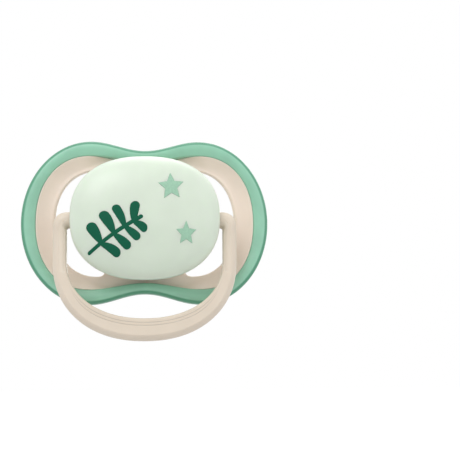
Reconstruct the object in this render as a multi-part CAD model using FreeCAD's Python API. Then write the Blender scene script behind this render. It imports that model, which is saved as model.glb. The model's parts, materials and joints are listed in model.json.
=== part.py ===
import FreeCAD, Part

import math
import os

# Baby's pacifier: a dished two-colour shield with two vents, a hollow knob in front, a soft hollow
# nipple behind, a plug inside the knob that clamps the nipple, and a D-shaped handle that swings
# on two pins in the plug's ears.
# Frame, in millimetres: +Z up, +X to the right seen from the front, +Y towards the mouth.
# The origin is on the nipple's axis, in the plane of the shield's back face.

Vector = FreeCAD.Vector
ALONG_X = Vector(1, 0, 0)
ALONG_Y = Vector(0, 1, 0)
ALONG_Z = Vector(0, 0, 1)

# ---- shield -------------------------------------------------------------------------------
shield_width = 60.0
lobe_height = 39.8          # over the two rounded lobes
waist_height = 34.9         # over the dips above and below the knob
lobe_crown = 13.3           # half the distance between the lobes' highest points
bend_radius = 128.0         # the shield is a shallow dish, hollow towards the face
plate_thickness = 2.0
rim_width = 3.6             # soft rim, at the side tips and the lobes
rim_waist_width = 2.65
rim_depth = 4.6             # soft rim, front to back
rim_set_back = 0.6          # the plate's lip stands this far behind the rim
rim_rounding = 1.7
border_width = 2.2          # thick border of the plate, inside the rim
border_depth = 3.9
inner_squareness = 2.2      # exponent of the lobes' inner curve; 2 is an ellipse
gate_mark_radius = 0.7
gate_mark_depth = 0.15
gate_mark_place = 10.8      # beside the neck

# ---- vents --------------------------------------------------------------------------------
vent_band = 4.6             # plate left outside the vents at the side tips
vent_band_crown = 3.3       # and above and below them
vent_half_width = 10.4      # of the oval that a vent is cut from
vent_squareness = 2.2
vent_land_margin = 0.6      # the oval land between the vents, beside the knob's foot
vent_land_half_height = 17.1
vent_corner = 1.1

# ---- nipple -------------------------------------------------------------------------------
neck_half_width = 6.4       # along X
neck_half_height = 4.4      # along Z
neck_gap = 0.15             # neck in the plate's hole
flange_gap = 0.7            # flange in the collar
flange_thickness = 1.6
bore_half_width = 4.3
bore_half_height = 2.5
nipple_stations = [         # distance from the shield, half width, half height
    (0.0, neck_half_width, neck_half_height),
    (3.6, 6.25, 4.5),
    (7.3, 6.3, 4.75),
    (11.0, 6.85, 5.35),
    (15.0, 7.95, 6.45),
    (20.0, 8.75, 7.5),
    (24.6, 8.05, 6.75),
    (27.6, 6.4, 5.5),
    (29.6, 4.1, 3.6),
    (30.7, 2.0, 1.8),
]
bulb_wall = 1.8
bore_depth = 7.3            # from the shield to where the bore starts to widen
cavity_end = 28.6
cavity_tip_share = 0.25     # the cavity's end section, as a share of the bulb's widest

# ---- knob ---------------------------------------------------------------------------------
knob_half_width = 17.85
knob_half_height = 14.85
knob_squareness = 2.33
knob_belly = 10.8           # from the shield's back plane to the knob's widest section
knob_front = 17.1           # from the shield's back plane to the crown of the knob
knob_foot_half_width = 12.9
knob_foot_half_height = 12.6
knob_roundness = 2.3        # exponent of the curve from the sides to the crown
knob_wall = 1.5
knob_foot_gap = 0.05        # between the knob's foot and the plate
knob_foot_reach = 1.2       # the knob is drawn this much too long behind, then cut to the dish
knob_side_stations = (0.93, 0.75, 0.5, 0.25)            # shares of the way from belly to foot
knob_crown_stations = (0, 0.4, 0.7, 0.88, 0.96, 0.992)  # shares of the way from belly to crown
collar_wall = 1.4
collar_height = 2.4
collar_gap = 0.3            # collar in the knob's mouth

# ---- handle -------------------------------------------------------------------------------
pivot_depth = 7.8           # in front of the shield's back plane
handle_gap = 0.6            # between the knob's side and each arm
handle_drop = 28.9          # from the pivot to the bottom of the bow
handle_arm_width = 3.3
handle_bow_height = 5.3
handle_arm_thickness = 3.5
handle_bow_thickness = 4.7
handle_bend_start = 10.0    # below the pivot the arms turn into the bow
handle_squareness = 2.2
handle_inner_squareness = 2.15
handle_edge = 1.0
boss_radius = 2.05
boss_hole_gap = 0.35
journal_radius = 1.6
journal_clearance = 0.05
journal_end_play = 0.25
pin_head_step = 0.35        # the head's radius over the journal's
pin_head_length = 0.8

# ---- plug ---------------------------------------------------------------------------------
plug_gap = 0.1              # plug in the collar
plug_base_thickness = 1.5
ear_knob_gap = 1.65         # ear inside the knob's wall, measured at the belly
ear_thickness = 2.7
ear_wall = 1.1              # ear round the journal, in front
ear_side_wall = 1.45        # ear round the journal, above and below
ear_snap = 0.5              # the journal is this much wider than the slot it snaps through
beam_thickness = 1.4
peg_gap = 0.3               # peg in the bore, above and below
peg_half_width = 2.4
peg_tip_height = 2.8
peg_reach = 2.4             # behind the shield's back plane
peg_slot_height = 0.45
peg_slot_side = 0.5         # solid left above and below a slot
peg_slot_places = [0.55, 1.45]

# ---- printed motif ------------------------------------------------------------------------
ink_thickness = 0.08
stem_start = (-12.85, -9.0)
stem_end = (-0.5, -0.7)
stem_half_width = 0.45
leaf_half_width = 1.0
leaf_profile = [            # share of the length, share of the half width
    (0, 0), (0.35, 0.45), (0.7, 0.95), (0.92, 0.7), (1, 0), (0.92, -0.7), (0.7, -0.95), (0.35, -0.45),
]
leaves = [                  # foot on the stem, rounded tip
    ((-9.8, -6.9), (-12.3, -2.7)),
    ((-6.7, -4.9), (-9.4, -0.2)),
    ((-4.2, -3.2), (-6.5, 1.5)),
    ((-2.3, -1.9), (-1.9, 2.2)),
    ((-9.8, -6.9), (-6.2, -9.0)),
    ((-6.7, -4.9), (-3.7, -7.4)),
    ((-4.2, -3.2), (-1.5, -5.5)),
    ((-2.3, -1.9), (0.2, -3.6)),
]
stars = {                   # centre, radius across, radius up, turn in degrees
    "large_star_print": ((6.4, 6.6), 3.15, 3.35, 0.0),
    "small_star_print": ((9.9, -4.3), 2.5, 2.95, 3.0),
}
star_inner_share = 0.48

# ---- worked out ---------------------------------------------------------------------------
half_width = shield_width / 2
half_lobe = lobe_height / 2
half_waist = waist_height / 2
inner_half_width = half_width - rim_width
inner_half_lobe = half_lobe - rim_width
inner_half_waist = half_waist - rim_waist_width
vent_centre = inner_half_width - vent_band - vent_half_width
vent_half_height = inner_half_lobe - vent_band_crown
collar_half_width = knob_foot_half_width - knob_wall - collar_gap
collar_half_height = knob_foot_half_height - knob_wall - collar_gap
well_half_width = collar_half_width - collar_wall
well_half_height = collar_half_height - collar_wall
handle_half_width = knob_half_width + handle_gap + handle_arm_width
ear_outer_face = knob_half_width - knob_wall - ear_knob_gap
ear_inner_face = ear_outer_face - ear_thickness
bore_radius = journal_radius + journal_clearance
pin_head_radius = journal_radius + pin_head_step
peg_foot_height = 2 * (bore_half_height - peg_gap)
plug_back = -plate_thickness - flange_thickness
beam_front = plug_back - plug_base_thickness - beam_thickness
reach = 40.0                # longer than anything in the part


def close_spline(points):
    """One closed smooth wire through the points."""
    curve = Part.BSplineCurve()
    curve.interpolate(Points=points, PeriodicFlag=True)
    return Part.Wire([curve.toShape()])


def power(value, exponent):
    """value to the exponent, with the sign kept."""
    return math.copysign(abs(value) ** exponent, value)


def superellipse(half_w, half_h, squareness, y=0.0, x_centre=0.0, count=36):
    """Closed wire of |x/w|^n + |z/h|^n = 1 in the plane at y."""
    points = []
    for step in range(count):
        angle = 2 * math.pi * step / count
        x = x_centre + half_w * power(math.cos(angle), 2 / squareness)
        z = half_h * power(math.sin(angle), 2 / squareness)
        points.append(Vector(x, y, z))
    return close_spline(points)


def butterfly(half_w, half_l, half_c, squareness):
    """Closed outline of two lobes, half_l high at the crowns, joined by waists half_c high."""
    points = []
    for side in (1, -1):
        for step in range(16):
            angle = -math.pi / 2 + math.pi * (step + 0.5) / 16
            x = lobe_crown + (half_w - lobe_crown) * power(math.cos(angle), 2 / squareness)
            z = half_l * power(math.sin(angle), 2 / squareness)
            points.append(Vector(side * x, 0, side * z))
        for step in range(9):
            x = lobe_crown * (1 - step / 4)
            rise = (1 - math.cos(math.pi * x / lobe_crown)) / 2
            points.append(Vector(side * x, 0, side * (half_c + (half_l - half_c) * rise)))
    return close_spline(points)


def prism(wire, y_front, y_back):
    """Solid between two depths with the wire's outline."""
    placed = wire.copy()
    placed.translate(Vector(0, y_front - wire.BoundBox.YMin, 0))
    return Part.Face(placed).extrude(ALONG_Y * (y_back - y_front))


def behind(depth):
    """Everything behind the dished surface that lies at this depth on the nipple's axis."""
    return Part.makeSphere(bend_radius - depth, Vector(0, bend_radius, 0))


def bent_layer(wire, front, back):
    """Layer of the dished shield between two depths, with the wire's outline."""
    block = prism(wire, -reach, reach)
    return block.common(behind(front)).cut(behind(back))


def block(x0, x1, y0, y1, z0, z1):
    return Part.makeBox(x1 - x0, y1 - y0, z1 - z0, Vector(x0, y0, z0))


def vent(side):
    """Kidney-shaped hole: the outer oval less the land between the vents."""
    outer = superellipse(vent_half_width, vent_half_height, vent_squareness, 0, side * vent_centre)
    land = superellipse(knob_foot_half_width + vent_land_margin, vent_land_half_height, 2)
    hole = prism(outer, -reach, reach).cut(prism(land, -reach, reach))
    corners = []
    for edge in hole.Edges:
        start, end = edge.Vertexes[0].Point, edge.Vertexes[-1].Point
        runs_through = abs(start.x - end.x) < 0.01 and abs(start.y - end.y) > reach
        if runs_through and abs(start.z) > vent_half_height / 2:
            corners.append(edge)
    return hole.makeFillet(vent_corner, corners)


def make_shield_plate():
    """Dished plate with a thick border, vents, neck hole and the collar that carries the knob."""
    outline = butterfly(inner_half_width, inner_half_lobe, inner_half_waist, inner_squareness)
    hollow = butterfly(inner_half_width - border_width, inner_half_lobe - border_width,
                       inner_half_waist + border_width, inner_squareness)
    plate = bent_layer(outline, -plate_thickness, 0)
    border = bent_layer(outline, -border_depth, -plate_thickness).cut(prism(hollow, -reach, reach))
    collar = superellipse(collar_half_width, collar_half_height, knob_squareness)
    collar = prism(collar, -plate_thickness - collar_height, 0).cut(behind(-plate_thickness))
    well = superellipse(well_half_width, well_half_height, knob_squareness)
    plate = plate.fuse([border, collar.cut(prism(well, -reach, 0))])
    plate = plate.cut([vent(1), vent(-1)])
    neck = superellipse(neck_half_width + neck_gap, neck_half_height + neck_gap, 2)
    mark = Part.makeCylinder(gate_mark_radius, reach, Vector(gate_mark_place, 0, 0), ALONG_Y)
    mark = mark.cut(behind(-plate_thickness).cut(behind(-gate_mark_depth)))
    return plate.cut([prism(neck, -reach, reach), mark]).removeSplitter()


def make_shield_rim():
    """Soft bead moulded round the plate, with its outer edges rounded."""
    outer = butterfly(half_width, half_lobe, half_waist, 2)
    inner = butterfly(inner_half_width, inner_half_lobe, inner_half_waist, inner_squareness)
    ring = bent_layer(outer, -rim_set_back - rim_depth, -rim_set_back)
    ring = ring.cut(prism(inner, -reach, reach))
    outside = []
    for edge in ring.Edges:
        middle = edge.valueAt((edge.FirstParameter + edge.LastParameter) / 2)
        flat = Part.Vertex(Vector(middle.x, 0, middle.z))
        if edge.Length > 2 * rim_depth and flat.distToShape(outer)[0] < rim_width / 2:
            outside.append(edge)
    return ring.makeFillet(rim_rounding, outside)


def loft(sections):
    return Part.makeLoft(sections, True, False)


def make_nipple():
    """Hollow soft nipple with a flange that the plug clamps against the plate."""
    body = loft([superellipse(w, h, 2, y) for y, w, h in nipple_stations])
    neck = prism(superellipse(neck_half_width, neck_half_height, 2), plug_back, 0)
    flange = superellipse(well_half_width - flange_gap, well_half_height - flange_gap, 2)
    flange = prism(flange, plug_back, 0).cut(behind(-plate_thickness))
    widest = max(nipple_stations, key=lambda station: station[1])
    bulb = nipple_stations[4:8]
    stations = [(0, bore_half_width, bore_half_height), (bore_depth, bore_half_width, bore_half_height)]
    stations += [(y, w - bulb_wall, h - bulb_wall) for y, w, h in bulb]
    stations.append((cavity_end, widest[1] * cavity_tip_share, widest[2] * cavity_tip_share))
    cavity = loft([superellipse(w, h, 2, y) for y, w, h in stations])
    bore = prism(superellipse(bore_half_width, bore_half_height, 2), plug_back, 0)
    return body.fuse([neck, flange]).cut(bore.fuse(cavity)).removeSplitter()


def knob_section(y, inset):
    """Half width and half height of the knob at a depth y, drawn in by the inset."""
    crown = knob_front - knob_belly - inset
    if y < -knob_belly:
        share = (1 - min(1, (-knob_belly - y) / crown) ** knob_roundness) ** (1 / knob_roundness)
        return (knob_half_width - inset) * share, (knob_half_height - inset) * share
    rise = (y + knob_belly) / (knob_belly - plate_thickness)
    share = math.sqrt(max(0, 1 - min(1, rise) ** 2))
    width = knob_foot_half_width + (knob_half_width - knob_foot_half_width) * share
    height = knob_foot_half_height + (knob_half_height - knob_foot_half_height) * share
    return width - inset, height - inset


def knob_body(inset):
    """Pillow shape of the knob, drawn in by the inset, with its foot at the plate."""
    crown = knob_front - inset
    depths = [-plate_thickness + knob_foot_reach, -plate_thickness]
    depths += [-knob_belly + (knob_belly - plate_thickness) * share for share in knob_side_stations]
    depths += [-knob_belly - (crown - knob_belly) * share for share in knob_crown_stations]
    sections = []
    for y in depths:
        width, height = knob_section(y, inset)
        sections.append(superellipse(width, height, knob_squareness, y))
    return loft(sections)


def make_knob():
    """Hollow knob, open where it sits on the plate, with a hole each side for the handle's pins."""
    shell = knob_body(0).cut(knob_body(knob_wall))
    hole = Part.makeCylinder(boss_radius + boss_hole_gap, 2 * reach,
                             Vector(-reach, -pivot_depth, 0), ALONG_X)
    return shell.cut(hole).cut(behind(-plate_thickness - knob_foot_gap))


def make_plug():
    """Plug in the collar: clamps the flange, fills the neck with a peg, holds the pins in ears."""
    base = superellipse(well_half_width - plug_gap, well_half_height - plug_gap, knob_squareness)
    base = prism(base, plug_back - plug_base_thickness, plug_back)
    ear_half_height = bore_radius + ear_side_wall
    beam = block(-ear_outer_face, ear_outer_face, beam_front, plug_back - plug_base_thickness,
                 -ear_half_height, ear_half_height)
    parts = [beam]
    for side in (1, -1):
        inner, outer = sorted((side * ear_inner_face, side * ear_outer_face))
        parts.append(block(inner, outer, -pivot_depth - bore_radius - ear_wall, beam_front,
                           -ear_half_height, ear_half_height))
    peg_side = Part.makePolygon([
        Vector(-peg_half_width, plug_back, -peg_foot_height / 2),
        Vector(-peg_half_width, peg_reach, -peg_tip_height / 2),
        Vector(-peg_half_width, peg_reach, peg_tip_height / 2),
        Vector(-peg_half_width, plug_back, peg_foot_height / 2),
        Vector(-peg_half_width, plug_back, -peg_foot_height / 2),
    ])
    parts.append(Part.Face(peg_side).extrude(ALONG_X * 2 * peg_half_width))
    plug = base.fuse(parts)
    bore = Part.makeCylinder(bore_radius, 2 * reach, Vector(-reach, -pivot_depth, 0), ALONG_X)
    slot_half = journal_radius - ear_snap / 2
    slot = block(-reach, reach, -reach, -pivot_depth, -slot_half, slot_half)
    cuts = [bore, slot]
    for side in (1, -1):
        head_side = side * (ear_inner_face - 2 * journal_end_play - pin_head_length)
        base_point = Vector(head_side, -pivot_depth, 0)
        cuts.append(Part.makeCylinder(pin_head_radius + boss_hole_gap, ear_inner_face - abs(head_side),
                                      base_point, ALONG_X * side))
    peg_slot_half = peg_tip_height / 2 - peg_slot_side
    for place in peg_slot_places:
        cuts.append(block(-reach, reach, place, place + peg_slot_height, -peg_slot_half, peg_slot_half))
    for cut in cuts:
        plug = plug.cut(cut)
    return plug.removeSplitter()


def handle_outline(half_w, drop, squareness, top):
    """Closed outline of a D: one curve down an arm, round the bow and up, closed across the top."""
    arm = [top - (top + handle_bend_start) * step / 6 for step in range(6)]
    points = [Vector(half_w, 0, z) for z in arm]
    for step in range(21):
        angle = math.pi * step / 20
        x = half_w * power(math.cos(angle), 2 / squareness)
        z = -handle_bend_start - (drop - handle_bend_start) * power(math.sin(angle), 2 / squareness)
        points.append(Vector(x, 0, z))
    points += [Vector(-half_w, 0, z) for z in reversed(arm)]
    curve = Part.BSplineCurve()
    curve.interpolate(Points=points, InitialTangent=-ALONG_Z, FinalTangent=ALONG_Z)
    return Part.Wire([curve.toShape(), Part.LineSegment(points[-1], points[0]).toShape()])


def make_handle():
    """D-shaped bail: two arms and a bow, thicker towards the bow, with a stepped pin on each arm."""
    arm_top = handle_arm_thickness / 2
    outer = handle_outline(handle_half_width, handle_drop, handle_squareness, arm_top)
    inner = handle_outline(handle_half_width - handle_arm_width, handle_drop - handle_bow_height,
                           handle_inner_squareness, arm_top + 1)
    ring = prism(outer, -reach, reach).cut(prism(inner, -reach, reach))
    arm_half, bow_half = handle_arm_thickness / 2, handle_bow_thickness / 2
    growth = (bow_half - arm_half) / handle_drop
    side_view = []
    for z, front in ((reach, -1), (reach, 1), (-reach, 1), (-reach, -1), (reach, -1)):
        side_view.append(Vector(-reach, -pivot_depth + front * (arm_half - growth * z), z))
    wedge = Part.Face(Part.makePolygon(side_view)).extrude(ALONG_X * 2 * reach)
    ring = ring.common(wedge)
    ring = ring.makeFillet(handle_edge, ring.Edges)
    arm_inside = handle_half_width - handle_arm_width
    pieces = []
    for side in (1, -1):
        boss_end = ear_outer_face + journal_end_play
        head_start = ear_inner_face - journal_end_play
        steps = [(boss_radius, arm_inside + handle_arm_width / 2, boss_end),
                 (journal_radius, boss_end, head_start),
                 (pin_head_radius, head_start, head_start - pin_head_length)]
        for radius, start, end in steps:
            base = Vector(side * end, -pivot_depth, 0)
            pieces.append(Part.makeCylinder(radius, start - end, base, ALONG_X * side))
    return ring.fuse(pieces).removeSplitter()


def ink_layer(outline):
    """Thin film of ink with the outline, lying on the knob's front."""
    film = prism(outline, -reach, -knob_belly)
    return film.common(knob_body(-ink_thickness).cut(knob_body(0)))


def leaf_wire(foot, tip):
    """Drop-shaped leaf: pointed at its foot, round at its tip."""
    dx, dz = tip[0] - foot[0], tip[1] - foot[1]
    length = math.hypot(dx, dz)
    points = []
    for along, across in leaf_profile:
        x = foot[0] + dx * along - dz / length * across * leaf_half_width
        z = foot[1] + dz * along + dx / length * across * leaf_half_width
        points.append(Vector(x, 0, z))
    return close_spline(points)


def make_leaf_print():
    """Sprig: a straight stem with four leaves on each side."""
    dx, dz = stem_end[0] - stem_start[0], stem_end[1] - stem_start[1]
    length = math.hypot(dx, dz)
    across = Vector(-dz / length, 0, dx / length) * stem_half_width
    start, end = Vector(stem_start[0], 0, stem_start[1]), Vector(stem_end[0], 0, stem_end[1])
    stem = Part.makePolygon([start + across, end + across, end - across, start - across, start + across])
    outlines = [Part.Face(leaf_wire(foot, tip)) for foot, tip in leaves]
    flat = Part.Face(stem).fuse(outlines).removeSplitter()
    films = [ink_layer(face.OuterWire) for face in flat.Faces]
    return films[0] if len(films) == 1 else films[0].fuse(films[1:])


def make_star_print(centre, across, up, turn):
    """Five-pointed star."""
    points = []
    for step in range(11):
        angle = math.radians(90 + turn + 36 * step)
        share = 1 if step % 2 == 0 else star_inner_share
        x = centre[0] + across * share * math.cos(angle)
        z = centre[1] + up * share * math.sin(angle)
        points.append(Vector(x, 0, z))
    return ink_layer(Part.makePolygon(points))


def main():
    os.makedirs("parts", exist_ok=True)
    nodes = {
        "shield_plate": make_shield_plate(),
        "shield_rim": make_shield_rim(),
        "nipple": make_nipple(),
        "nipple_plug": make_plug(),
        "knob": make_knob(),
        "handle": make_handle(),
        "leaf_print": make_leaf_print(),
    }
    for name, star in stars.items():
        nodes[name] = make_star_print(*star)
    for name, shape in nodes.items():
        shape.exportStep(f"parts/{name}.step")
        box = shape.BoundBox
        print(f"{name:18s} solids {len(shape.Solids)} valid {shape.isValid()} volume {shape.Volume:9.2f} "
              f"x {box.XMin:7.2f} {box.XMax:7.2f} y {box.YMin:7.2f} {box.YMax:7.2f} "
              f"z {box.ZMin:7.2f} {box.ZMax:7.2f}")


main()
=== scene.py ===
import json
import math

import bpy
import numpy as np
from bpy.props import FloatProperty, FloatVectorProperty, PointerProperty
from mathutils import Matrix, Vector


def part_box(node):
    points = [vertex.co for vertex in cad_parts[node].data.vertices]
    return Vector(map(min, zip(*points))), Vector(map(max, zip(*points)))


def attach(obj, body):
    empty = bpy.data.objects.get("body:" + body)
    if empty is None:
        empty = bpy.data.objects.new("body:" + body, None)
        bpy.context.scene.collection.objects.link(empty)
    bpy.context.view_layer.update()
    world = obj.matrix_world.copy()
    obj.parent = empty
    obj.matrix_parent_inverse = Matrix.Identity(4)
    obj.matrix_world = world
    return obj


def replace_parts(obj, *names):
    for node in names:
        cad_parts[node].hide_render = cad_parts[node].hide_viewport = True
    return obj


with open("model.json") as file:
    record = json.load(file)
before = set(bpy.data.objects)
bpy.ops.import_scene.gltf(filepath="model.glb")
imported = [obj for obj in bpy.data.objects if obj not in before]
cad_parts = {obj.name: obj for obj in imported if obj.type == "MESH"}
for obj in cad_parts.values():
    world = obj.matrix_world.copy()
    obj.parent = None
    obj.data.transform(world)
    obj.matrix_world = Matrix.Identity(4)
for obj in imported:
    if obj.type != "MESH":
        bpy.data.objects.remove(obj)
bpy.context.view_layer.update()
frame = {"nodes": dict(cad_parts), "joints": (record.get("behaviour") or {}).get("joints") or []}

bl_info = {
    "name": "Pacifier",
    "version": (1, 0, 0),
    "blender": (4, 5, 0),
    "location": "3D View > Sidebar > Pacifier",
    "description": "Moulded shield, knob, nipple and handle of a baby's pacifier round its packed model",
    "category": "Object",
}

MM = 0.001
PIVOT = np.array(frame["joints"][0]["pos_m"])
RIM_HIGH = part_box("shield_rim")[1]
NIPPLE_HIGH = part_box("nipple")[1]
HANDLE_LOW, HANDLE_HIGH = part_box("handle")
PIN_TOP, PIN_BOTTOM = 1.7 * MM, -2.2 * MM  # the arms' edges where they turn into the pins
CORNER_POINTS = 9  # points round a corner of the handle's section


# ---- sizes and colours that a user would change ----------------------------------------------

def length(name, default, description):
    """One size in metres, shown with its unit."""
    return FloatProperty(name=name, description=description, default=default, min=0.0,
                         precision=5, unit="LENGTH")


def share(name, default, description):
    """One plain number."""
    return FloatProperty(name=name, description=description, default=default, min=0.0, max=10.0)


def colour(name, default, description):
    """One linear colour."""
    return FloatVectorProperty(name=name, description=description, default=default, size=3,
                               min=0.0, max=1.0, subtype="COLOR")


class PacifierShieldSettings(bpy.types.PropertyGroup):
    half_width: length("Half width", RIM_HIGH.x, "Middle of the shield to its side tip")
    half_lobe: length("Half lobe height", RIM_HIGH.z, "Middle to the highest point of a lobe")
    half_waist: length("Half waist height", 17.45 * MM, "Middle to the dip above the knob")
    lobe_crown: length("Lobe crown", 13.3 * MM, "Middle to a lobe's highest point, sideways")
    bend_radius: length("Bend radius", 128.0 * MM, "Radius of the dished back face")
    thickness: length("Thickness", 2.0 * MM, "Plate between the vents and the knob")
    border_depth: length("Border depth", 4.35 * MM, "Plate where it meets the rim")
    border_width: length("Border width", 4.4 * MM, "Hollowed slope inside the rim")
    rim_width: length("Rim width", 3.6 * MM, "Soft rim at the tips and the lobes")
    rim_waist_width: length("Rim width at the waist", 2.65 * MM, "Soft rim at the dips")
    rim_depth: length("Rim depth", 4.6 * MM, "Soft rim, front to back")
    rim_set_back: length("Rim set-back", 0.6 * MM, "The plate's back lip stands this far behind")
    rim_rounding: length("Rim rounding", 1.05 * MM, "Outer edges of the rim")
    edge_rounding: length("Vent edge rounding", 0.85 * MM, "Front edge of each vent")
    neck_half_width: length("Neck hole half width", 6.5 * MM, "Hole for the nipple's neck")
    neck_half_height: length("Neck hole half height", 4.5 * MM, "Hole for the nipple's neck")
    plate_colour: colour("Plate colour", (0.84, 0.72, 0.625), "Warm beige plastic")
    rim_colour: colour("Rim colour", (0.285, 0.565, 0.418), "Front of the soft green rim")
    # painted shade: this darker green is laid on the rim's side in place of its shade and the longer light
    # path through the rubber
    rim_side_shade_colour: colour("Rim edge colour", (0.085, 0.30, 0.185), "Deep green of the rim's side")


class PacifierKnobSettings(bpy.types.PropertyGroup):
    half_width: length("Half width", 17.7 * MM, "At the widest section")
    half_height: length("Half height", 14.6 * MM, "At the widest section")
    squareness: share("Squareness", 2.33, "Exponent of the outline: 2 is an ellipse")
    belly: length("Belly depth", 10.8 * MM, "Shield's back to the widest section")
    front: length("Crown depth", 17.07 * MM, "Shield's back to the crown")
    roundness: share("Roundness", 2.3, "Exponent of the curve over the crown")
    foot_half_width: length("Foot half width", 12.9 * MM, "Where the knob sits on the plate")
    foot_half_height: length("Foot half height", 12.6 * MM, "Where the knob sits on the plate")
    wall: length("Wall", 1.5 * MM, "Wall of the hollow knob")
    hole_radius: length("Pin hole radius", 2.4 * MM, "Holes for the handle's pins")
    foot_gap: length("Foot gap", 0.05 * MM, "Foot of the knob to the plate")
    colour: colour("Knob colour", (0.65, 0.735, 0.62), "Milky mint plastic")


class PacifierNippleSettings(bpy.types.PropertyGroup):
    wall: length("Bulb wall", 1.8 * MM, "Wall of the bulb")
    bore_half_width: length("Bore half width", 4.3 * MM, "Flat bore in the neck")
    bore_half_height: length("Bore half height", 2.5 * MM, "Flat bore in the neck")
    frost_start: length("Frost start", 12.6 * MM, "Shield to the top of the clear arch")
    frost_colour: colour("Frost colour", (0.985, 0.985, 0.99), "Matte bulb")
    clear_colour: colour("Clear colour", (0.95, 0.96, 0.96), "Polished neck")
    plug_colour: colour("Plug colour", (0.80, 0.79, 0.76), "Plug and its peg in the neck")


class PacifierHandleSettings(bpy.types.PropertyGroup):
    half_width: length("Half width", HANDLE_HIGH.x, "Middle to the outside of an arm")
    drop: length("Drop", -HANDLE_LOW.z, "Pivot to the bottom of the bow")
    arm_width: length("Arm width", 3.3 * MM, "Seen from the front")
    bow_height: length("Bow height", 5.3 * MM, "Seen from the front")
    arm_thickness: length("Arm thickness", 3.5 * MM, "Front to back, at the pivot")
    bow_thickness: length("Bow thickness", 4.7 * MM, "Front to back, at the bow")
    bend_start: length("Bend start", 10.0 * MM, "Below the pivot the arms turn into the bow")
    squareness: share("Squareness", 2.2, "Exponent of the outer curve")
    inner_squareness: share("Inner squareness", 2.15, "Exponent of the inner curve")
    terrace: length("Terrace height", 0.2 * MM, "Each of the two steps along the inner edge")
    colour: colour("Handle colour", (0.70, 0.61, 0.505), "Warm beige plastic")


class PacifierPrintSettings(bpy.types.PropertyGroup):
    film: length("Ink film", 0.05 * MM, "Height of the ink over the knob")
    leaf_colour: colour("Leaf colour", (0.003, 0.10, 0.052), "Dark green ink")
    star_colour: colour("Star colour", (0.325, 0.54, 0.40), "Pale green ink")


class PacifierStageSettings(bpy.types.PropertyGroup):
    distance: length("Camera distance", 300.0 * MM, "Camera to the middle of the shield")
    floor_drop: length("Floor drop", 95.0 * MM, "Origin to the floor")
    ambient: share("Surrounding light", 0.95, "Strength of the pale surroundings")
    floor_glow: share("Floor glow", 0.55, "How much the pale floor is lifted towards white")


# ---- surfaces --------------------------------------------------------------------------------

def grid_faces(rows, columns, wrap_rows=False, wrap_columns=False):
    """Quads of a grid of points that are numbered row by row."""
    row = np.arange(rows if wrap_rows else rows - 1)
    column = np.arange(columns if wrap_columns else columns - 1)
    a, b = np.meshgrid(row, column, indexing="ij")
    a_next, b_next = (a + 1) % rows, (b + 1) % columns
    corners = [a * columns + b, a_next * columns + b, a_next * columns + b_next, a * columns + b_next]
    return np.stack(corners, -1).reshape(-1, 4)


def fan_faces(ring, pole):
    """Triangles from each side of a closed ring of point numbers to one pole."""
    return np.stack([np.roll(ring, -1), ring, np.full(len(ring), pole)], -1)


def capped_tube(rows, count):
    """Faces of a tube of closed rings with a fan at each end. The two poles are numbered after the
    last ring's points."""
    end = rows * count
    return [grid_faces(rows, count, wrap_columns=True), fan_faces(np.arange(count)[::-1], end),
            fan_faces(np.arange(end - count, end), end + 1)]


def enclosed(points, faces):
    """Signed volume of closed faces: a sum of corner triple products."""
    total = 0.0
    for group in faces:
        for last in range(2, group.shape[1]):
            a, b, c = points[group[:, 0]], points[group[:, last - 1]], points[group[:, last]]
            total += np.einsum("ij,ij->i", a, np.cross(b, c)).sum() / 6
    return total


def join_shells(shells):
    """Points and faces of several closed shells, each turned outwards, in one numbering."""
    points, groups, start = [], [], 0
    for shell_points, shell_groups in shells:
        if enclosed(shell_points - shell_points.mean(0), shell_groups) < 0:
            shell_groups = [group[:, ::-1] for group in shell_groups]
        points.append(shell_points)
        groups += [group + start for group in shell_groups]
        start += len(shell_points)
    return np.concatenate(points), groups


def add_mesh(name, points, faces, material):
    """New object at the origin, from points and a list of faces."""
    mesh = bpy.data.meshes.new(name)
    mesh.from_pydata(points.tolist(), [], faces)
    mesh.materials.append(material)
    piece = bpy.data.objects.new(name, mesh)
    bpy.context.scene.collection.objects.link(piece)
    return piece


def make_piece(name, points, groups, body, material):
    """Puts points and groups of faces into one smooth mesh that faces outwards and rides on a body."""
    if enclosed(points - points.mean(0), groups) < 0:
        groups = [group[:, ::-1] for group in groups]
    piece = add_mesh(name, points, [face for group in groups for face in group.tolist()], material)
    piece.data.polygons.foreach_set("use_smooth", np.ones(len(piece.data.polygons), bool))
    piece.data.update()
    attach(piece, body)
    return piece


def set_attribute(piece, name, values):
    """Stores one number for each point, for the material to read."""
    attribute = piece.data.attributes.new(name, "FLOAT", "POINT")
    attribute.data.foreach_set("value", np.asarray(values, np.float32).ravel())


def signed_power(value, exponent):
    """Value to the exponent, with its sign kept."""
    return np.sign(value) * np.abs(value) ** exponent


def places(*axes):
    """Points from their coordinates, any of which may be one number for all."""
    return np.stack(np.broadcast_arrays(*axes), -1)


def superellipse(angle, squareness):
    """Cosine and sine of the angle, each to the power of 2 over the squareness, signs kept."""
    power = 2 / squareness
    return signed_power(np.cos(angle), power), signed_power(np.sin(angle), power)


def smooth_step(value):
    """0 below 0, 1 above 1, and an S-curve between."""
    value = np.clip(value, 0, 1)
    return value * value * (3 - 2 * value)


def full_turn(count):
    """Angles spread evenly over one turn."""
    return np.linspace(0, 2 * math.pi, count, endpoint=False)


def travelled(line):
    """Distance along an open line to each of its points."""
    steps = np.linalg.norm(np.diff(line, axis=0), axis=1)
    return np.concatenate([[0], np.cumsum(steps)])


def even_parameters(curve, low, high, count):
    """Parameters between low and high whose points on the curve are evenly spaced."""
    fine = np.linspace(low, high, 4000)
    distance = travelled(curve(fine))
    return np.interp(np.linspace(0, distance[-1], count), distance, fine)


def even_points(line, count):
    """The same open line with evenly spaced points."""
    distance = travelled(line)
    wanted = np.linspace(0, distance[-1], count)
    return places(*(np.interp(wanted, distance, values) for values in line.T))


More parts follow.
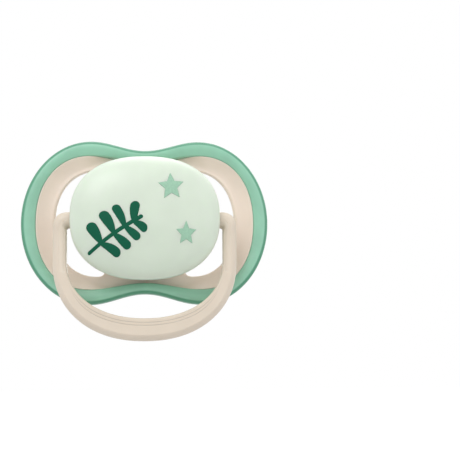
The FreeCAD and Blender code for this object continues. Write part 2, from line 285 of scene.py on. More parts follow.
def spline(stations, count):
    """Catmull-Rom curve through the stations, with as many evenly spread points as asked."""
    stations = np.asarray(stations, float)
    padded = np.array([2 * stations[0] - stations[1], *stations, 2 * stations[-1] - stations[-2]])
    place = np.linspace(0, len(stations) - 1 - 1e-9, count)
    first = place.astype(int)
    t = (place - first)[:, None]
    a, b, c, d = (padded[first + offset] for offset in range(4))
    return 0.5 * (2 * b + (c - a) * t + (2 * a - 5 * b + 4 * c - d) * t ** 2
                  + (3 * b - a - 3 * c + d) * t ** 3)


def dish(x, z, depth, bend):
    """Y of the sphere concentric with the shield's back, at this depth on the axis."""
    return bend - np.sqrt((bend - depth) ** 2 - x ** 2 - z ** 2)


def butterfly(t, half_width, half_lobe, half_waist, squareness, crown):
    """Quarter of the shield's outline. t 0 to 1 is a superellipse from the side tip up to the lobe's
    highest point, and 1 to 2 a cosine wave down to the dip."""
    side, up = superellipse(np.clip(t, 0, 1) * math.pi / 2, squareness)
    wave = t > 1
    x = np.where(wave, crown * (2 - t), crown + (half_width - crown) * side)
    rise = (1 - np.cos(math.pi * x / crown)) / 2
    return places(x, np.where(wave, half_waist + (half_lobe - half_waist) * rise, half_lobe * up))


def outer_edge(t, size):
    """Quarter of the rim's outer edge."""
    return butterfly(t, size.half_width, size.half_lobe, size.half_waist, 2.0, size.lobe_crown)


def seam_edge(t, size):
    """Quarter of the seam between the plate and the rim."""
    return butterfly(t, size.half_width - size.rim_width, size.half_lobe - size.rim_width,
                     size.half_waist - size.rim_waist_width, 2.2, size.lobe_crown)


def all_round(quarter):
    """Closed loop from the quarter that runs from the +X side to the +Z side."""
    return np.concatenate([
        quarter,
        (quarter * [-1, 1])[::-1][1:],
        (quarter * [-1, -1])[1:],
        (quarter * [1, -1])[::-1][1:-1],
    ])


def crossing(inner, outer):
    """Distance and direction from each point of the inner line to its partner on the outer line."""
    gap = outer - inner
    width = np.linalg.norm(gap, axis=1, keepdims=True)
    return width, gap / width


def outwards(inner, out, offset):
    """Flat points at the offsets outwards from each point of the inner line."""
    return inner[:, None, :] + out[:, None, :] * offset[..., None]


def side_by_side(parts, width):
    """Joins the parts of a section, each with an offset and a depth, into two arrays with one row
    for each width."""
    columns = [np.broadcast_arrays(offset, depth, width)[:2] for offset, depth in parts]
    return [np.concatenate(values, 1) for values in zip(*columns)]


# ---- materials -------------------------------------------------------------------------------

class Finish:
    """A Principled material and the nodes that feed it, all on Object coordinates in metres."""

    def __init__(self, name):
        self.material = bpy.data.materials.new(name)
        self.material.use_nodes = True
        self.nodes = self.material.node_tree.nodes
        self.links = self.material.node_tree.links
        self.shader = self.nodes["Principled BSDF"]
        self.place = self.nodes.new("ShaderNodeTexCoord").outputs["Object"]

    def feed(self, socket, value):
        """Links an output to the socket, or sets the socket's own value."""
        if isinstance(value, bpy.types.NodeSocket):
            self.links.new(value, socket)
        else:
            socket.default_value = value

    def put(self, name, value):
        """Feeds the shader's socket of that name."""
        self.feed(self.shader.inputs[name], value)

    def add(self, kind, inputs, **options):
        """New node with its options set and its inputs fed, by name or number."""
        node = self.nodes.new("ShaderNode" + kind)
        for name, value in options.items():
            setattr(node, name, value)
        for name, value in inputs.items():
            self.feed(node.inputs[name], value)
        return node

    def noise(self, per_mm, detail=3.0, rough=0.5):
        """Noise with this many features to the millimetre."""
        inputs = {"Vector": self.place, "Scale": per_mm / MM, "Detail": detail, "Roughness": rough}
        return self.add("TexNoise", inputs).outputs["Fac"]

    def spread(self, value, low, high, to_low, to_high, smooth=True):
        """Moves a value from one range to another, held at the ends."""
        inputs = {"Value": value, "From Min": low, "From Max": high, "To Min": to_low, "To Max": to_high}
        kind = "SMOOTHSTEP" if smooth else "LINEAR"
        return self.add("MapRange", inputs, interpolation_type=kind).outputs["Result"]

    def mix(self, factor, first, second):
        """Colour between two colours."""
        return self.add("Mix", {"Factor": factor, 6: first, 7: second}, data_type="RGBA").outputs[2]

    def math(self, operation, first, second=0.0):
        """One arithmetic step on values or numbers."""
        return self.add("Math", {0: first, 1: second}, operation=operation).outputs[0]

    def attribute(self, name):
        """The number stored for each point under this name."""
        return self.add("Attribute", {}, attribute_name=name).outputs["Fac"]

    def bump(self, height, depth_mm):
        """Small relief of this depth."""
        inputs = {"Height": height, "Distance": depth_mm * MM, "Strength": 1.0}
        self.put("Normal", self.add("Bump", inputs).outputs["Normal"])

    def clouded(self, value, base, darker, lighter, low=0.3, high=0.7):
        """Colour between a darker and a lighter shade, as the value goes from low to high."""
        return self.mix(self.spread(value, low, high, 0, 1), shade(base, darker), shade(base, lighter))

    def roughen(self, value, smooth, rough):
        """Roughness between two numbers, by the value."""
        self.put("Roughness", self.spread(value, 0.3, 0.7, smooth, rough))

    def soften(self, weight, radius_mm, scale_mm):
        """Light that scatters a little way under the surface."""
        self.put("Subsurface Weight", weight)
        self.put("Subsurface Radius", radius_mm)
        self.put("Subsurface Scale", scale_mm * MM)


def shade(base, factor=1.0):
    """The colour made darker or lighter, with full alpha."""
    return (*(min(1.0, channel * factor) for channel in base), 1.0)


def moulded(name, base, roughness):
    """Satin injection-moulded plastic: faint flow clouds in the colour, and a spark-eroded grain
    that breaks up the gloss."""
    finish = Finish(name)
    specks = finish.noise(3.5, 2.0)
    tone = finish.clouded(finish.noise(0.12, 2.0), base, 0.975, 1.02)
    finish.put("Base Color", finish.mix(finish.spread(specks, 0.62, 0.8, 0, 0.35), tone, shade(base, 0.9)))
    finish.roughen(specks, roughness - 0.05, roughness + 0.06)
    finish.bump(finish.noise(6.0, 3.0, 0.6), 0.012)
    finish.soften(0.15, (1.0, 0.85, 0.7), 0.8)
    return finish


def settings(name):
    """The scene's property group of that name."""
    return getattr(bpy.context.scene, "pacifier_" + name)


# ---- shield ----------------------------------------------------------------------------------

def vent_quarter(count_top, count_land):
    """Upper half of the right-hand vent: an oval from its outer side over the top to a rounded
    corner, then down the oval land beside the knob's foot. Returns both runs."""
    centre, half_width, half_height, squareness = 11.4 * MM, 10.4 * MM, 13.0 * MM, 2.2
    land_width, land_height, corner_cut = 13.5 * MM, 17.1 * MM, 2.4 * MM
    side, up = superellipse(np.linspace(0, math.pi * 0.9, 3000), squareness)
    oval = places(centre + half_width * side, half_height * up)
    inside_land = (oval[:, 0] / land_width) ** 2 + (oval[:, 1] / land_height) ** 2 < 1
    oval = oval[:np.argmax(inside_land)]
    tip = oval[-1]
    angle = np.linspace(math.asin(tip[1] / land_height), 0, 2000)
    land = places(land_width * np.cos(angle), land_height * np.sin(angle))
    oval = oval[np.linalg.norm(oval - tip, axis=1) > corner_cut]
    land = land[np.linalg.norm(land - land[0], axis=1) > corner_cut]
    turn_points, halfway = 60, 29
    t = np.linspace(0, 1, turn_points)[:, None]
    turn = oval[-1] * (1 - t) ** 2 + tip * 2 * t * (1 - t) + land[0] * t ** 2
    top = np.concatenate([oval, turn[1:halfway + 1]])
    inner = np.concatenate([turn[halfway:-1], land])
    return even_points(top, count_top), even_points(inner, count_land)


def plate_outline_quarter(size, count_top, count_land):
    """Outer edge that goes with the vent: the seam from the tip to the dip, then down the middle
    line and round a quarter of the neck's hole."""
    outline = seam_edge(even_parameters(lambda t: seam_edge(t, size), 0, 2, count_top), size)
    angle = np.linspace(math.pi / 2, 0, 200)
    neck = places(size.neck_half_width * np.cos(angle), size.neck_half_height * np.sin(angle))
    middle_count = count_land // 2
    middle = places(0.0, np.linspace(outline[-1, 1], size.neck_half_height, middle_count))
    return outline, np.concatenate([middle[:-1], even_points(neck, count_land - middle_count + 1)])


def strip_points(inner, out, offset, depth, bend):
    """Points of a strip: each path point moved outwards by the offsets, on the layers at the depths."""
    x, z = np.moveaxis(outwards(inner, out, offset), -1, 0)
    return places(x, dish(x, z, depth, bend), z)


def weld(points, faces):
    """Joins points that lie on one another, and drops the faces that this closes up."""
    keys = np.round(points / (0.001 * MM)).astype(np.int64)
    first, number = np.unique(keys, axis=0, return_index=True, return_inverse=True)[1:]
    corners = number.reshape(-1)[faces]
    same = corners == np.roll(corners, -1, axis=1)
    quads = corners[~same.any(1)]
    single = same.sum(1) == 1
    triangles = corners[single][~same[single]].reshape(-1, 3)
    return points[first], [quads, triangles]


def make_shield_plate(material):
    """Dished plate in two mirrored halves welded on the middle line. Each half is a closed profile
    carried round its vent: out over the hollowed front, down the outer edge, back along the dished
    rear face and round the vent's edge. Towards the tips the front rises from the plate's thickness
    to the border's depth, as a power of how little is left to the outer edge."""
    size = settings("shield")
    count_top, count_land = 110, 56
    vent_top, vent_land = vent_quarter(count_top, count_land)
    edge_top, edge_land = plate_outline_quarter(size, count_top, count_land)
    quarters = np.concatenate([vent_top, vent_land[1:]]), np.concatenate([edge_top, edge_land[1:]])
    inner, outer = (np.concatenate([line, (line * [1, -1])[::-1][1:-1]]) for line in quarters)
    reach, out = crossing(inner, outer)

    on_line = 0.002 * MM
    hollow_power = 1.7
    rise_start, rise_run = 7 * MM, 7 * MM
    lip = np.where(outer[:, :1] > on_line, 0.25 * MM, 0.0)
    front_edge, back_edge = size.edge_rounding, 0.5 * MM
    turn = np.radians(np.linspace(0, 90, 7))[None]
    small_turn = np.radians(np.linspace(90, 0, 4))[None]
    front_run = front_edge + (reach - lip - front_edge) * np.linspace(0, 1, 28)[None, 1:-1]
    back_run = back_edge + (reach - lip - back_edge) * np.linspace(1, 0, 16)[None, 1:-1]
    presence = smooth_step((outer[:, :1] - rise_start) / rise_run)

    def front(offset):
        hollow = np.clip(1 - (reach - offset) / size.border_width, 0, 1)
        return size.thickness + (size.border_depth - size.thickness) * presence * hollow ** hollow_power

    def vent_edge(radius, angle):
        return radius * (1 - np.cos(angle)), radius * (1 - np.sin(angle))

    def outer_lip(angle):
        return reach - lip + lip * np.cos(angle), lip * (1 - np.sin(angle))

    front_parts = [vent_edge(front_edge, turn), (front_run, 0 * front_run), outer_lip(small_turn)]
    back_parts = [outer_lip(small_turn[:, ::-1]), (back_run, 0 * back_run),
                  vent_edge(back_edge, turn[:, ::-1])]
    parts = [(offset, drop - front(offset)) for offset, drop in front_parts]
    parts += [(offset, -rise) for offset, rise in back_parts]
    offset, depth = side_by_side(parts, reach)
    half = strip_points(inner, out, offset, depth, size.bend_radius)
    faces = grid_faces(*half.shape[:2], wrap_rows=True, wrap_columns=True)
    half = half.reshape(-1, 3)
    faces = faces[~(np.abs(half[faces][..., 0]) < on_line).all(1)]
    both = np.concatenate([half, half * [-1, 1, 1]])
    both[np.abs(both[:, 0]) < on_line, 0] = 0
    points, groups = weld(both, np.concatenate([faces, (faces + len(half))[:, ::-1]]))
    piece = make_piece("shield_plate_moulding", points, groups, "shield", material)
    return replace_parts(piece, "shield_plate")


def make_gate_mark(material):
    """Witness ring of the moulding gate on the plate's back: a low round ridge about a shallow
    middle, turned round its centre and laid on the dished back, with a flat underside."""
    bend, middle = settings("shield").bend_radius, 10.8 * MM
    profile = np.array([(0.08, 0.008), (0.35, 0.008), (0.45, 0.03), (0.53, 0.075), (0.6, 0.09),
                        (0.67, 0.075), (0.74, 0.03), (0.78, -0.01), (0.78, -0.05), (0.4, -0.05),
                        (0.08, -0.05)]) * MM
    radius, height = profile[:, :1], profile[:, 1:]
    angle = full_turn(48)
    x, z = middle + radius * np.cos(angle), radius * np.sin(angle)
    rings = places(x, dish(x, z, height, bend), z)
    poles = places(middle, dish(middle, 0, height[[0, -1], 0], bend), 0)
    points = np.concatenate([rings.reshape(-1, 3), poles])
    return make_piece("shield_gate_mark", points, capped_tube(*x.shape), "shield", material)


def make_shield_rim(material):
    """Closed bead: a section with a nearly flat front and rounded outer edges, carried along the
    butterfly outline between the seam and the outer edge. Stores how far round the outer edge each
    point lies, for painted shade there: a deeper green on the side that stands in for shade and the
    longer path of light through the rubber, left lighter over the back rounding where light falls."""
    size = settings("shield")
    t = even_parameters(lambda t: outer_edge(t, size), 0, 2, 90)
    inner, outer = all_round(seam_edge(t, size)), all_round(outer_edge(t, size))
    width, out = crossing(inner, outer)
    back, crest = size.rim_set_back, size.rim_set_back + size.rim_depth
    radius, back_radius = size.rim_rounding, 1.7 * MM
    seam, front_seam, step = 0.02 * MM, 0.14 * MM, 0.3 * MM
    start = size.border_depth + 0.05 * MM
    run = np.linspace(0, 1, 12)[None]
    front_turn = np.radians(np.linspace(90, 0, 10))[None, 1:]
    back_turn = np.radians(np.linspace(0, 90, 8))[None]
    parts = [
        (seam, back + (start - step - back) * np.linspace(0, 1, 3)[None]),
        (front_seam + (width - radius - front_seam) * run,
         start + (crest - start) * np.sin(run * math.pi / 2)),
        (width - radius + radius * np.cos(front_turn), crest - radius + radius * np.sin(front_turn)),
        (width - back_radius + back_radius * np.cos(back_turn),
         back + back_radius - back_radius * np.sin(back_turn)),
        ((width - back_radius) * np.linspace(0.8, 0.2, 3)[None], back),
    ]
    offset, depth = side_by_side(parts, width)
    points = strip_points(inner, out, offset, -depth, size.bend_radius)
    faces = grid_faces(*points.shape[:2], wrap_rows=True, wrap_columns=True)
    piece = make_piece("shield_rim_bead", points.reshape(-1, 3), [faces], "shield", material)
    # painted shade: full on the rim's outer side, fading to a share of it over the back rounding, which is
    # left lighter where light falls
    side_start, side_run, back_share, back_start, back_run = 0.95 * MM, 0.35 * MM, 0.35, 0.1 * MM, 0.9 * MM
    forward = smooth_step((depth - back - back_start) / back_run)
    side = smooth_step((offset - width + side_start) / side_run)
    set_attribute(piece, "painted_side_shade", side * (back_share + (1 - back_share) * forward))
    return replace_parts(piece, "shield_rim")


# ---- knob ------------------------------------------------------------------------------------

def knob_front_y(x, z, size):
    """Y of the knob's crown over (x, z): the outline's exponent turns the place into one share, and
    the crown's exponent turns the share into a depth."""
    share_out = ((np.abs(x) / size.half_width) ** size.squareness
                 + (np.abs(z) / size.half_height) ** size.squareness) ** (1 / size.squareness)
    rise = (1 - np.clip(share_out, 0, 1) ** size.roundness) ** (1 / size.roundness)
    return -size.belly - (size.front - size.belly) * rise


def make_knob(material):
    """Hollow cap. Rings are superellipses: a quarter-ellipse flare from the foot to the belly, then
    a rounder-than-elliptic crown closed at a pole. A round hole is opened in each side by dropping
    the faces inside it and drawing the edge points on to the circle."""
    size, shield = settings("knob"), settings("shield")
    around, foot_rows, side_rows, crown_rows = 260, 4, 46, 44

    def ring(angle):
        return places(*superellipse(angle, size.squareness))

    unit = all_round(ring(even_parameters(ring, 0, math.pi / 2, around // 4 + 1)))
    foot = shield.thickness + size.foot_gap
    flare = np.linspace(0, math.pi / 2, side_rows)
    crown = np.linspace(0, math.pi / 2, crown_rows)[1:-1]
    crown_share, crown_rise = (value ** (2 / size.roundness) for value in (np.cos(crown), np.sin(crown)))

    def reaches(foot_reach, belly_reach):
        flared = foot_reach + (belly_reach - foot_reach) * np.sin(flare)
        return np.concatenate([flared, belly_reach * crown_share])[:, None]

    x = reaches(size.foot_half_width, size.half_width) * unit[:, 0]
    z = reaches(size.foot_half_height, size.half_height) * unit[:, 1]
    depth = np.concatenate([size.belly - (size.belly - foot) * np.cos(flare),
                            size.belly + (size.front - size.belly) * crown_rise])
    y = -depth[:, None] + 0 * x
    base = dish(x[0], z[0], -foot, shield.bend_radius)
    blend = np.linspace(0, 1, foot_rows + 1)[:-1, None]
    x, z = (np.concatenate([np.repeat(value[:1], foot_rows, 0), value]) for value in (x, z))
    y = np.concatenate([base + (y[0] - base) * blend, y])
    rows, count = x.shape
    points = places(x, y, z).reshape(-1, 3)
    faces = grid_faces(rows, count, wrap_columns=True)

    from_axis = points[:, 1:] - PIVOT[1:]
    distance = np.linalg.norm(from_axis, axis=1)
    side = np.abs(points[:, 0]) > size.half_width / 2
    inside = (distance[faces].mean(1) < size.hole_radius) & side[faces].all(1)
    edge = np.intersect1d(faces[inside], faces[~inside])
    points[edge, 1:] = PIVOT[1:] + from_axis[edge] * (size.hole_radius / distance[edge])[:, None]
    faces = faces[~inside]
    pole = len(points)
    points = np.concatenate([points, [[0, -size.front, 0]]])
    last_ring = np.arange(pole - count, pole)
    used = np.unique(np.concatenate([faces.ravel(), last_ring, [pole]]))
    renumber = np.zeros(len(points), int)
    renumber[used] = np.arange(len(used))
    groups = [renumber[faces], renumber[fan_faces(last_ring, pole)]]
    piece = make_piece("knob_cap", points[used], groups, "shield", material)
    wall = piece.modifiers.new("wall", "SOLIDIFY")
    wall.thickness, wall.offset = size.wall, -1.0
    edges = piece.modifiers.new("edges", "BEVEL")
    edges.width, edges.segments, edges.limit_method = 0.15 * MM, 2, "ANGLE"
    edges.angle_limit = math.radians(50)
    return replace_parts(piece, "knob")


# ---- nipple ----------------------------------------------------------------------------------

def make_nipple(material):
    """Hollow nipple. Oval rings follow a smooth spline of (distance, half width, half height) out
    over the neck and bulb to a pole, and the bore and cavity do the same inside; the flange joins
    the two. The stations are in millimetres."""
    size = settings("nipple")
    tip, cavity_end = NIPPLE_HIGH.y / MM, 28.7
    neck, flange_width, flange_height, flange_back, flange_front = (6.4, 4.4), 9.0, 8.7, -2.15, -3.6
    wall, bore = size.wall / MM, (size.bore_half_width / MM, size.bore_half_height / MM)
    bulb = [(11.0, 6.85, 5.35), (15.0, 7.95, 6.45), (20.0, 8.75, 7.5), (24.6, 8.05, 6.75)]
    cavity = [(distance, width - wall, height - wall) for distance, width, height in bulb]
    outside = spline([(0.0, *neck), (3.6, 6.25, 4.5), (7.3, 6.3, 4.75), *bulb, (27.6, 6.4, 5.5),
                      (29.6, 4.1, 3.6), (tip - 0.25, 2.0, 1.8), (tip, 0.0, 0.0)], 110)
    inside = spline([(-1.0, *bore), (3.0, *bore), (7.3, *bore), *cavity, (27.2, 4.6, 3.7),
                     (28.4, 2.2, 1.8), (cavity_end, 0.0, 0.0)], 90)
    flange = [(flange_back, *neck), (flange_back, flange_width, flange_height),
              (flange_front, flange_width, flange_height), (flange_front, *bore)]
    stations = np.concatenate([outside[::-1][1:], flange, inside[:-1]])
    angle = full_turn(96)
    rings = places(stations[:, 1:2] * np.cos(angle), stations[:, :1], stations[:, 2:3] * np.sin(angle))
    points = np.concatenate([rings.reshape(-1, 3), [[0, tip, 0], [0, cavity_end, 0]]]) * MM
    groups = capped_tube(*rings.shape[:2])
    piece = make_piece("nipple_teat", points, groups, "shield", material)
    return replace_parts(piece, "nipple")


# ---- handle ----------------------------------------------------------------------------------

def handle_edges(size):
    """Outer and inner edge of the right half of the handle, from the pin to the bottom of the bow:
    a pin, a quarter-superellipse elbow, a straight arm and a superellipse bow."""
    boss_end, elbow_x, elbow_z, elbow_squareness = 14.95 * MM, 17.9 * MM, -2.3 * MM, 2.6
    inner_half = size.half_width - size.arm_width
    inner_turn = inner_half - elbow_x
    quarter = np.radians(np.linspace(90, 0, 30))
    side, up = superellipse(quarter, elbow_squareness)
    pin = np.linspace(boss_end, elbow_x, 8)[:-1]
    outer = [places(pin, PIN_TOP),
             places(elbow_x + (size.half_width - elbow_x) * side, elbow_z + (PIN_TOP - elbow_z) * up)]
    inner = [places(pin, PIN_BOTTOM),
             places(elbow_x + inner_turn * np.cos(quarter),
                    PIN_BOTTOM - inner_turn + inner_turn * np.sin(quarter))]
    arm = np.linspace(0, 1, 18)[1:-1]
    for line, x in ((outer, size.half_width), (inner, inner_half)):
        top = line[-1][-1, 1]
        line.append(places(x, top + (-size.bend_start - top) * arm))

    def bow(angle, half, drop, squareness):
        side, down = superellipse(angle, squareness)
        return places(half * side, -size.bend_start - (drop - size.bend_start) * down)

    angle = even_parameters(lambda a: bow(a, size.half_width, size.drop, size.squareness),
                            0, math.pi / 2, 80)
    outer.append(bow(angle, size.half_width, size.drop, size.squareness))
    inner.append(bow(angle, inner_half, size.drop - size.bow_height, size.inner_squareness))
    return np.concatenate(outer), np.concatenate(inner)


def section_corner(centre_a, centre_t, radius_a, radius_t, start, squareness=2.0, count=CORNER_POINTS):
    """Quarter of a superellipse in the handle's section, for every path point at once."""
    side, up = superellipse(np.radians(start + np.linspace(0, 90, count))[None], squareness)
    return centre_a + radius_a * side, centre_t + radius_t * up


def make_handle(material):
    """D-shaped bail with elbows that turn into its pins. The section is a rounded rectangle between
    the inner and the outer edge, as thick as its drop asks, with two low terraces that fade in
    along the inner edge of the bow; over the elbow it turns into the round pin. The pins' journals
    and heads are turned profiles. Stores where the terraces' steps are, for the painted shade there."""
    size = settings("handle")
    outer, inner = (np.concatenate([line, (line * [-1, 1])[::-1][1:]]) for line in handle_edges(size))
    width, out = crossing(inner, outer)
    height = ((outer + inner) / 2)[:, 1:]
    boss, elbow_low, elbow_run = 2.05 * MM, 3.4 * MM, 3.2 * MM
    growth = (size.bow_thickness - size.arm_thickness) / size.drop
    thickness = size.arm_thickness - growth * height
    roundish = smooth_step((np.minimum(height, 0) + elbow_low) / elbow_run)
    half = (thickness + (2 * boss - thickness) * roundish) / 2

    def blended(plain, limit):
        """The arm's value, turning into the pin's, which stays a little under the limit."""
        return plain + (limit - 0.04 * MM - plain) * roundish

    corners = (0.5 * MM, 1.4 * MM, 1.15 * MM, 0.75 * MM)
    depths = (0.5 * MM, 1.9 * MM, 1.15 * MM, 0.75 * MM)
    inner_round, chamfer, back_round, back_inner = (blended(plain, width / 2) for plain in corners)
    inner_deep, chamfer_deep, back_deep, back_inner_deep = (blended(plain, boss) for plain in depths)
    chamfer_squareness = 1.4 + 0.6 * roundish
    fade_start, fade_run = 0.15 * MM, 1.6 * MM
    extra = np.clip(width - size.arm_width - fade_start, 0, None) * (height < -size.bend_start)
    fade = smooth_step(extra / fade_run)
    low, mid = 2 * size.terrace * fade, size.terrace * fade
    first, second = inner_round + 0.42 * MM * fade, inner_round + 1.12 * MM * fade
    ramp, support = 0.14 * MM * fade, 0.07 * MM * fade
    front_face = [
        (first - support, low), (first, low), (first + ramp, mid), (first + ramp + support, mid),
        (second - support, mid), (second, mid), (second + ramp, 0), (second + ramp + support, 0),
    ]
    end = width - chamfer
    parts = [section_corner(inner_round, -half + low + inner_deep, inner_round, inner_deep, 180)]
    parts += [(np.minimum(offset, end - 0.03 * MM), -half + drop) for offset, drop in front_face]
    parts += [
        (end - 0.02 * MM, -half),
        section_corner(end, -half + chamfer_deep, chamfer, chamfer_deep, 270, chamfer_squareness, 15),
        section_corner(width - back_round, half - back_deep, back_round, back_deep, 0),
        section_corner(back_inner, half - back_inner_deep, back_inner, back_inner_deep, 90),
    ]
    offset, shift = side_by_side(parts, width)
    x, z = np.moveaxis(outwards(inner, out, offset), -1, 0)
    rings = places(x, PIVOT[1] + shift, z)
    rows, count = rings.shape[:2]
    shells = [(np.concatenate([rings.reshape(-1, 3), rings[[0, -1]].mean(1)]), capped_tube(rows, count))]

    turned = np.array([(15.3, 0.01), (15.3, 1.5), (15.1, 1.6), (11.9, 1.6), (11.75, 1.6),
                       (11.75, 1.85), (11.65, 1.95), (11.1, 1.95), (10.95, 1.8), (10.95, 0.01)]) * MM
    reach, radius = turned[:, :1], turned[:, 1:]
    around = full_turn(40)
    for side in (1, -1):
        pin = places(side * reach, PIVOT[1] + radius * np.cos(around), radius * np.sin(around))
        tips = places(side * reach[[0, -1], 0], PIVOT[1], 0)
        shells.append((np.concatenate([pin.reshape(-1, 3), tips]), capped_tube(*pin.shape[:2])))
    points, groups = join_shells(shells)
    # painted shade: marks the steps' ramps, where the colour is darkened into thin lines
    painted_step_shade = np.zeros((rows, count))
    ramp_columns = CORNER_POINTS + np.array([1, 2, 5, 6])
    painted_step_shade[:, ramp_columns] = fade
    piece = make_piece("handle_bail", points, groups, "handle", material)
    set_attribute(piece, "painted_step_shade", np.pad(painted_step_shade.ravel(), (0, len(points) - rows * count)))
    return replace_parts(piece, "handle")


# ---- printed motif ---------------------------------------------------------------------------

def film_shell(flat, height, size):
    """Film of ink: flat points (x, z) laid on the knob's crown and raised by the height."""
    x, z = np.moveaxis(flat, -1, 0)
    return places(x, knob_front_y(x, z, size) - height, z)


def blade(foot, tip, foot_half, tip_half, bend, size, film):
    """One leaf or the stem: a lens-shaped film along a bowed line. Its half width grows smoothly from
    foot to tip, and both ends are half round."""
    ends = np.array([foot, tip]) * MM
    foot_half, tip_half, bend = foot_half * MM, tip_half * MM, bend * MM
    span = ends[1] - ends[0]
    run = np.linalg.norm(span)
    full_share, growth_power, thin_edge = 0.72, 1.8, 0.3 * MM
    along = (1 - np.cos(np.linspace(0, math.pi, 34)[1:-1])) / 2
    half = foot_half + (tip_half - foot_half) * (1 - np.clip(1 - along / full_share, 0, 1) ** growth_power)
    from_tip = np.clip(1 - (1 - along) * run / tip_half, 0, 1)
    from_foot = np.clip(1 - along * run / foot_half, 0, 1)
    half = half * np.sqrt(1 - from_tip ** 2) * np.sqrt(1 - from_foot ** 2)
    across = np.array([-span[1], span[0]]) / run
    line = ends[0] + along[:, None] * span + across * (bend * np.sin(along * math.pi))[:, None]
    turn = full_turn(16)
    flat = line[:, None, :] + across * (half[:, None] * np.cos(turn))[..., None]
    height = film * np.sin(turn)[None] * np.minimum(1, half / thin_edge)[:, None]
    points = np.concatenate([film_shell(flat, height, size).reshape(-1, 3), film_shell(ends, 0, size)])
    return points, capped_tube(*height.shape)


STEM = ((-13.2, -9.05), (-0.5, -0.3), 0.42, 0.47, 0.42)  # foot, tip, half width at each, bow
LEAF_FOOT = 0.42  # half width
LEAVES = (  # foot, tip, half width at the tip, bow of the middle line; all in millimetres
    ((-10.10, -6.55), (-13.00, -1.95), 1.27, -0.10),
    ((-7.10, -4.40), (-10.12, 0.65), 1.22, -0.25),
    ((-4.60, -2.85), (-7.12, 2.15), 1.02, -0.20),
    ((-2.60, -1.75), (-2.10, 3.05), 1.12, 0.15),
    ((-10.20, -6.65), (-5.80, -9.45), 1.08, 0.30),
    ((-7.10, -4.55), (-3.50, -7.85), 1.05, 0.15),
    ((-4.60, -2.85), (-1.30, -5.75), 0.98, 0.10),
    ((-2.60, -1.75), (0.35, -3.85), 1.00, 0.30),
)


def make_leaf_print(material):
    """Sprig of eight leaves on a bowed stem, each its own closed film."""
    knob, film = settings("knob"), settings("print").film
    shells = [blade(*STEM, knob, film)]
    shells += [blade(foot, tip, LEAF_FOOT, half, bow, knob, film) for foot, tip, half, bow in LEAVES]
    points, groups = join_shells(shells)
    piece = make_piece("leaf_sprig_print", points, groups, "shield", material)
    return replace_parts(piece, "leaf_print")


def make_star(name, node, centre, across, up, turn_deg, material):
    """Five-pointed star: rays from the centre to a closed line between the outer and inner corners,
    a top sheet and a bottom sheet joined round the edge."""
    knob, film = settings("knob"), settings("print").film
    centre = np.array(centre) * MM
    inner_reach = 0.47
    corner = np.arange(11)
    angle = np.radians(90 + turn_deg + 36 * corner)
    reach = np.where(corner % 2 == 0, 1.0, inner_reach)
    edge = even_points(places(across * MM * np.cos(angle) * reach, up * MM * np.sin(angle) * reach), 161)
    shares = np.concatenate([np.linspace(0.1, 1, 12), np.linspace(1, 0.1, 12)[1:]])
    height = film * np.concatenate([np.ones(10), [0.8, 0], -np.ones(11)])
    flat = centre + shares[:, None, None] * edge[None, :-1]
    sheets = film_shell(flat, height[:, None], knob).reshape(-1, 3)
    poles = film_shell(np.array([centre, centre]), np.array([film, -film]), knob)
    groups = capped_tube(*flat.shape[:2])
    piece = make_piece(name, np.concatenate([sheets, poles]), groups, "shield", material)
    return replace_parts(piece, node)


# ---- finishes of the pieces ------------------------------------------------------------------

def rim_finish():
    """Soft, slightly see-through green rubber with a satin gloss, and painted shade round its side: a
    deeper green there.
    """
    size = settings("shield")
    finish = Finish("soft green rim")
    front = finish.clouded(finish.noise(0.15, 2.0), size.rim_colour, 0.95, 1.05)
    side = finish.attribute("painted_side_shade")
    # painted shade: the rim's side is mixed towards the deep green
    finish.put("Base Color", finish.mix(side, front, shade(size.rim_side_shade_colour)))
    finish.roughen(finish.noise(3.0, 2.0), 0.29, 0.33)
    finish.bump(finish.noise(9.0, 1.0), 0.0006)
    finish.soften(0.2, (0.5, 1.0, 0.7), 0.4)
    return finish.material


def knob_finish():
    """Milky mint plastic that glows softly: light scatters deep in it, with a satin surface."""
    finish = moulded("milky mint knob", settings("knob").colour, 0.36)
    finish.soften(0.55, (0.8, 1.0, 0.75), 2.2)
    finish.put("Coat Weight", 0.6)
    finish.put("Coat Roughness", 0.35)
    return finish.material


def nipple_finish():
    """Clear polished silicone at the neck, and beyond an arch-shaped line a frosted bulb: rougher,
    whiter and less clear."""
    size = settings("nipple")
    finish = Finish("silicone nipple")
    axes = finish.add("SeparateXYZ", {0: finish.place}).outputs
    arch_top, arch_side, arch_rise, waver = 1.7 * MM, 3.0 * MM, 3.4 * MM, 0.6 * MM
    arch = finish.spread(finish.math("ABSOLUTE", axes["Z"]), arch_top, arch_side, 0.0, arch_rise)
    above = finish.math("ADD", finish.math("SUBTRACT", axes["Y"], size.frost_start), arch)
    wobble = finish.math("MULTIPLY", finish.math("SUBTRACT", finish.noise(0.5, 2.0), 0.5), waver)
    frost = finish.spread(finish.math("ADD", above, wobble), -0.6 * MM, 1.0 * MM, 0.0, 1.0)
    finish.put("Base Color", finish.mix(frost, shade(size.clear_colour), shade(size.frost_colour)))
    finish.put("Roughness", finish.spread(frost, 0, 1, 0.04, 0.42, smooth=False))
    finish.put("Transmission Weight", finish.spread(frost, 0, 1, 1.0, 0.78, smooth=False))
    finish.put("IOR", 1.41)
    finish.bump(finish.noise(7.0, 3.0, 0.6), 0.006)
    finish.soften(0.3, (1.0, 1.0, 1.0), 1.5)
    return finish.material


def handle_finish():
    """Warm beige plastic with painted shade in the two fine steps of the bow: darker lines in the colour
    where the steps are.
    """
    base = settings("handle").colour
    finish = moulded("beige handle", base, 0.4)
    plain = finish.shader.inputs["Base Color"].links[0].from_socket
    # painted shade: the steps' points are mixed towards a darker beige
    painted_step_shade = finish.math("MULTIPLY", finish.attribute("painted_step_shade"), 0.6)
    finish.put("Base Color", finish.mix(painted_step_shade, plain, shade(base, 0.55)))
    return finish.material


